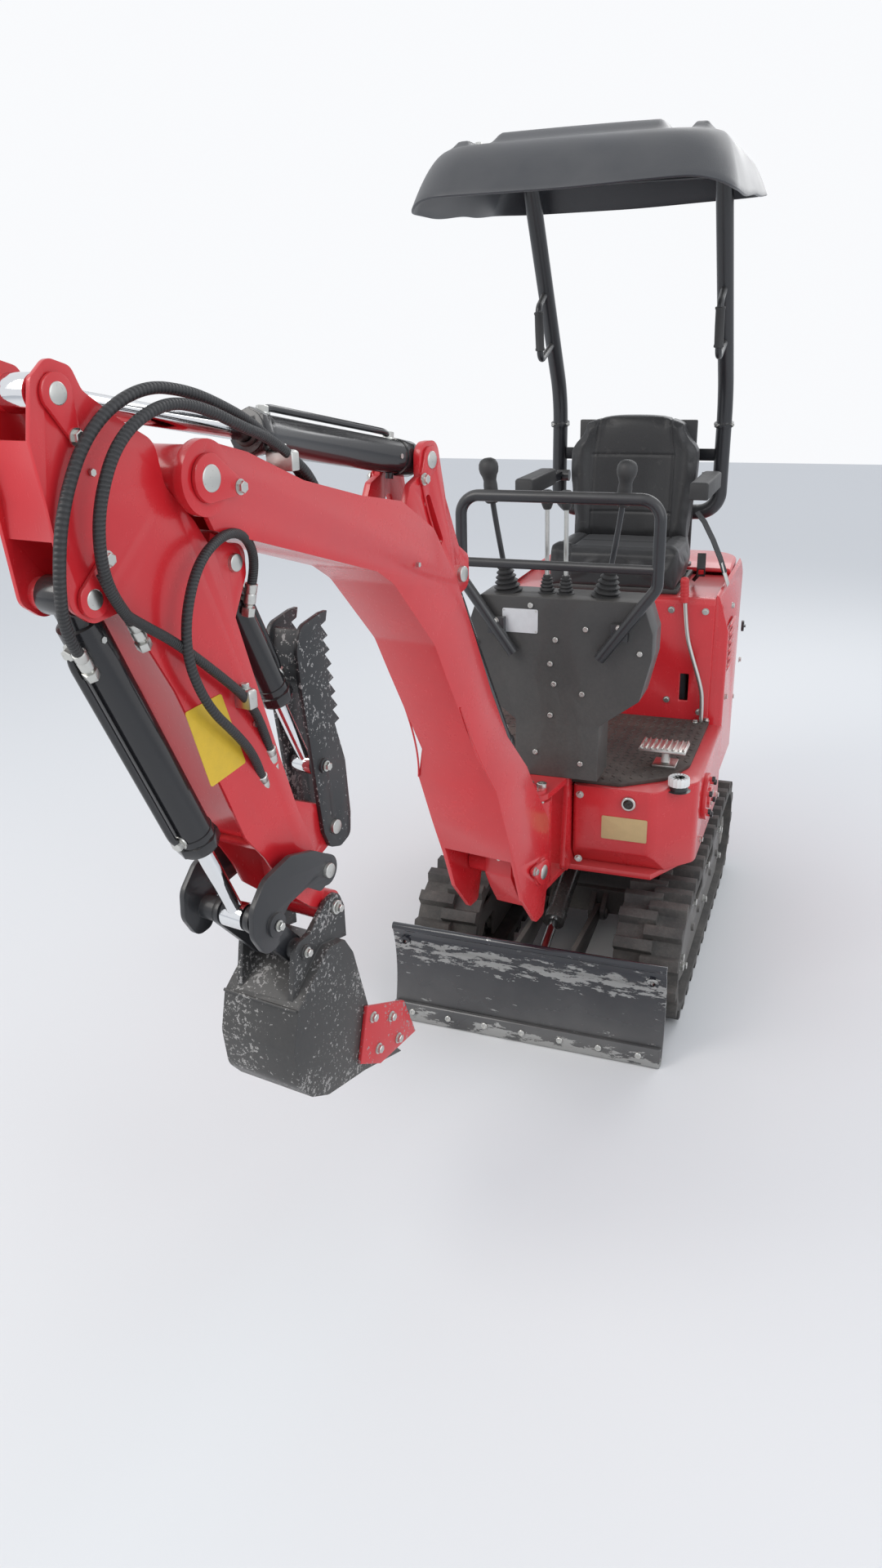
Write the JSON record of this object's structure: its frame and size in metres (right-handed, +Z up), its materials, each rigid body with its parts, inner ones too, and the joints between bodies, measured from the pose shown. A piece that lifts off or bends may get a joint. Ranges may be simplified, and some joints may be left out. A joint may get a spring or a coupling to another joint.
{
  "type": "mini excavator",
  "caption": "Compact rubber-tracked excavator with swing boom, arm, bucket, hydraulic thumb, dozer blade, open operator seat and canopy roof.",
  "frame": {"origin": "ground level under the centre of the whole machine's bounding box", "axes": "+Z up, -Y the direction the machine faces with its blade, +X the operator's left"},
  "size_m": [0.733, 2.741, 2.1],
  "materials": {
    "red_paint": "gloss red paint",
    "black_paint": "semi-gloss black paint",
    "gloss_black": "high-gloss black paint",
    "track_rubber": "worn black rubber",
    "grey_paint": "grey paint",
    "zinc_steel": "zinc-plated steel",
    "chrome": "hard chrome",
    "mat_rubber": "dark brown chequer mat",
    "black_plastic": "grained black plastic",
    "seat_vinyl": "smooth black vinyl",
    "canopy_plastic": "satin grained black plastic",
    "white_plastic": "white plastic"
  },
  "bodies": {
    "undercarriage": {"centre_frame": "black_paint", "left_track": "track_rubber", "right_track": "track_rubber", "track_frames": "black_paint", "idlers": "black_paint", "sprockets": "black_paint", "rollers": "black_paint"},
    "dozer_blade": {"blade_plate": "gloss_black", "blade_arms": "black_paint"},
    "blade_cylinder": {"blade_cylinder_barrel": "black_paint"},
    "blade_rod": {"blade_cylinder_rod": "chrome"},
    "swing_post_body": {"swing_post": "red_paint"},
    "boom_body": {"boom": "red_paint", "boom_pins": "zinc_steel"},
    "boom_cylinder": {"boom_cylinder_barrel": "black_paint"},
    "boom_rod": {"boom_cylinder_rod": "chrome"},
    "arm_body": {"arm": "red_paint", "arm_pins": "zinc_steel"},
    "arm_cylinder": {"arm_cylinder_barrel": "black_paint"},
    "arm_rod": {"arm_cylinder_rod": "chrome"},
    "bucket_cylinder": {"bucket_cylinder_barrel": "black_paint"},
    "bucket_rod": {"bucket_cylinder_rod": "chrome"},
    "rocker": {"rocker_plates": "black_paint"},
    "link": {"bucket_link": "black_paint"},
    "bucket_body": {"bucket": "black_paint", "side_cutters": "red_paint"},
    "thumb_body": {"thumb": "black_paint"},
    "thumb_cylinder": {"thumb_cylinder_barrel": "black_paint"},
    "thumb_rod": {"thumb_cylinder_rod": "chrome"},
    "upper_structure": {"armrests": "black_plastic", "canopy_posts": "black_paint", "canopy_roof": "canopy_plastic", "console": "black_paint", "counterweight": "red_paint", "engine_block": "grey_paint", "floor_mat": "mat_rubber", "foot_pedal": "zinc_steel", "guard_rail": "black_paint", "hood": "red_paint", "joysticks": "black_plastic", "right_box": "red_paint", "safety_lever": "zinc_steel", "seat": "seat_vinyl", "seat_box": "red_paint", "side_covers": "red_paint", "side_flange": "red_paint", "sight_gauge": "zinc_steel", "tank": "red_paint", "tank_cap": "white_plastic", "travel_levers": "black_plastic", "upper_frame": "red_paint"}
  },
  "joints": [
    {"name": "slew", "type": "hinge", "parent": "undercarriage", "child": "upper_structure", "pos_m": [0.0035, 0.61051, 0.345], "axis": [0, 0, 1], "continuous": true},
    {"name": "blade_lift", "type": "hinge", "parent": "undercarriage", "child": "dozer_blade", "pos_m": [0.0035, 0.37051, 0.16], "axis": [-1, 0, 0], "range_deg": [-20, 14]},
    {"name": "blade_cylinder_tilt", "type": "hinge", "parent": "undercarriage", "child": "blade_cylinder", "pos_m": [0.0035, 0.38551, 0.3], "axis": [1, 0, 0], "range_deg": [-11.65, 16.42]},
    {"name": "blade_cylinder_stroke", "type": "slide", "parent": "blade_cylinder", "child": "blade_rod", "axis": [0, -0.9458, -0.3247], "range_m": [-0.0317, 0.044]},
    {"name": "boom_swing", "type": "hinge", "parent": "upper_structure", "child": "swing_post_body", "pos_m": [-0.0145, 0.03051, 0.5], "axis": [0, 0, 1], "range_deg": [-46.5, 63.5]},
    {"name": "boom_lift", "type": "hinge", "parent": "swing_post_body", "child": "boom_body", "pos_m": [-0.03963, -0.13762, 0.535], "axis": [-0.989, 0.1478, 0], "range_deg": [-85, 9]},
    {"name": "boom_cylinder_tilt", "type": "hinge", "parent": "boom_body", "child": "boom_cylinder", "pos_m": [-0.08057, -0.41158, 1.276], "axis": [0.989, -0.1478, 0], "range_deg": [-2.47, 0.71]},
    {"name": "boom_cylinder_stroke", "type": "slide", "parent": "boom_cylinder", "child": "boom_rod", "axis": [0.0755, 0.505, -0.8598], "range_m": [-0.0272, 0.2318]},
    {"name": "arm_swing", "type": "hinge", "parent": "boom_body", "child": "arm_body", "pos_m": [-0.18625, -1.11873, 1.535], "axis": [0.989, -0.1478, 0], "range_deg": [-108, 0]},
    {"name": "arm_cylinder_tilt", "type": "hinge", "parent": "boom_body", "child": "arm_cylinder", "pos_m": [-0.09683, -0.52037, 1.494], "axis": [0.989, -0.1478, 0], "range_deg": [-14.64, 0.5]},
    {"name": "arm_cylinder_stroke", "type": "slide", "parent": "arm_cylinder", "child": "arm_rod", "axis": [-0.1452, -0.9718, 0.1856], "range_m": [-0.3479, 0.003]},
    {"name": "bucket_tilt", "type": "hinge", "parent": "arm_body", "child": "bucket_body", "pos_m": [-0.15255, -0.89323, 0.809], "axis": [0.989, -0.1478, 0], "range_deg": [-35, 100]},
    {"name": "rocker_tilt", "type": "hinge", "parent": "arm_body", "child": "rocker", "pos_m": [-0.15743, -0.92587, 0.896], "axis": [0.989, -0.1478, 0], "range_deg": [-22.95, 64.64]},
    {"name": "link_tilt", "type": "hinge", "parent": "bucket_body", "child": "link", "pos_m": [-0.16645, -0.9862, 0.773], "axis": [0.989, -0.1478, 0], "range_deg": [-65.78, 23.35]},
    {"name": "bucket_cylinder_tilt", "type": "hinge", "parent": "arm_body", "child": "bucket_cylinder", "pos_m": [-0.21508, -1.31159, 1.42], "axis": [0.989, -0.1478, 0], "range_deg": [-0.85, 1.5]},
    {"name": "bucket_cylinder_stroke", "type": "slide", "parent": "bucket_cylinder", "child": "bucket_rod", "axis": [0.0601, 0.4018, -0.9137], "range_m": [-0.0555, 0.1531]},
    {"name": "thumb_tilt", "type": "hinge", "parent": "arm_body", "child": "thumb_body", "pos_m": [-0.14546, -0.84576, 0.933], "axis": [0.989, -0.1478, 0], "range_deg": [-110, 0]},
    {"name": "thumb_cylinder_tilt", "type": "hinge", "parent": "arm_body", "child": "thumb_cylinder", "pos_m": [-0.17502, -1.04356, 1.413], "axis": [0.989, -0.1478, 0], "range_deg": [-0.5, 6.82]},
    {"name": "thumb_cylinder_stroke", "type": "slide", "parent": "thumb_cylinder", "child": "thumb_rod", "axis": [0.0652, 0.4364, -0.8974], "range_m": [-0.003, 0.1921]}
  ],
  "couplings": [
    {"joint": "blade_cylinder_tilt", "follows": "blade_lift", "ratio": -0.7962},
    {"joint": "blade_cylinder_stroke", "follows": "blade_lift", "m_per_rad": -0.11753},
    {"joint": "boom_cylinder_tilt", "follows": "boom_lift", "ratio": 0.0232},
    {"joint": "boom_cylinder_stroke", "follows": "boom_lift", "m_per_rad": -0.1542},
    {"joint": "arm_cylinder_tilt", "follows": "arm_swing", "ratio": 0.13089},
    {"joint": "arm_cylinder_stroke", "follows": "arm_swing", "m_per_rad": 0.18295},
    {"joint": "rocker_tilt", "follows": "bucket_tilt", "ratio": 0.64141},
    {"joint": "link_tilt", "follows": "bucket_tilt", "ratio": -0.6528},
    {"joint": "bucket_cylinder_tilt", "follows": "bucket_tilt", "ratio": 0.01},
    {"joint": "bucket_cylinder_stroke", "follows": "bucket_tilt", "m_per_rad": 0.08598},
    {"joint": "thumb_cylinder_tilt", "follows": "thumb_tilt", "ratio": -0.05747},
    {"joint": "thumb_cylinder_stroke", "follows": "thumb_tilt", "m_per_rad": -0.0985}
  ]
}
